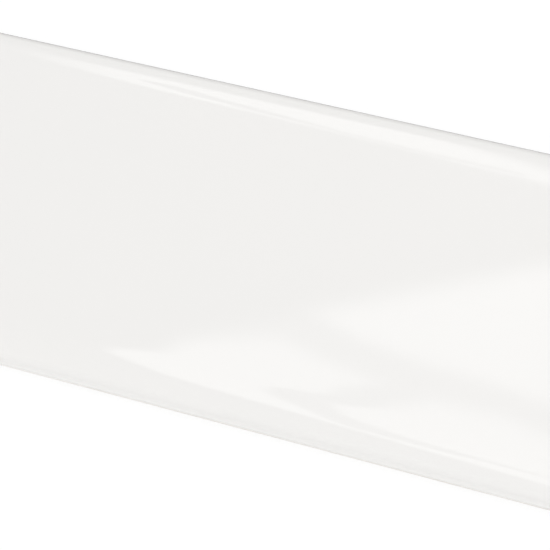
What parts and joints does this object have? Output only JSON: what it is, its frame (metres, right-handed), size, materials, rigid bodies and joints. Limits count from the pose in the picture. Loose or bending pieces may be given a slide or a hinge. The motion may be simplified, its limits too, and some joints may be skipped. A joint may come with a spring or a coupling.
{
  "type": "wall tile",
  "caption": "Rectangular glazed ceramic wall tile with a soft cushion edge all round, upright grout sides and a keyed back for adhesive.",
  "frame": {"origin": "middle of the back, on the plane of the ribs that the tile lies on", "axes": "+X along the tile, +Y across it, +Z out of the glazed face"},
  "size_m": [0.3, 0.1, 0.008],
  "materials": {
    "glazed_ceramic": "white gloss glaze over a cream-white fired body, which is bare on the lower sides and the back"
  },
  "bodies": {
    "root": {"tile": "glazed_ceramic"}
  },
  "joints": []
}
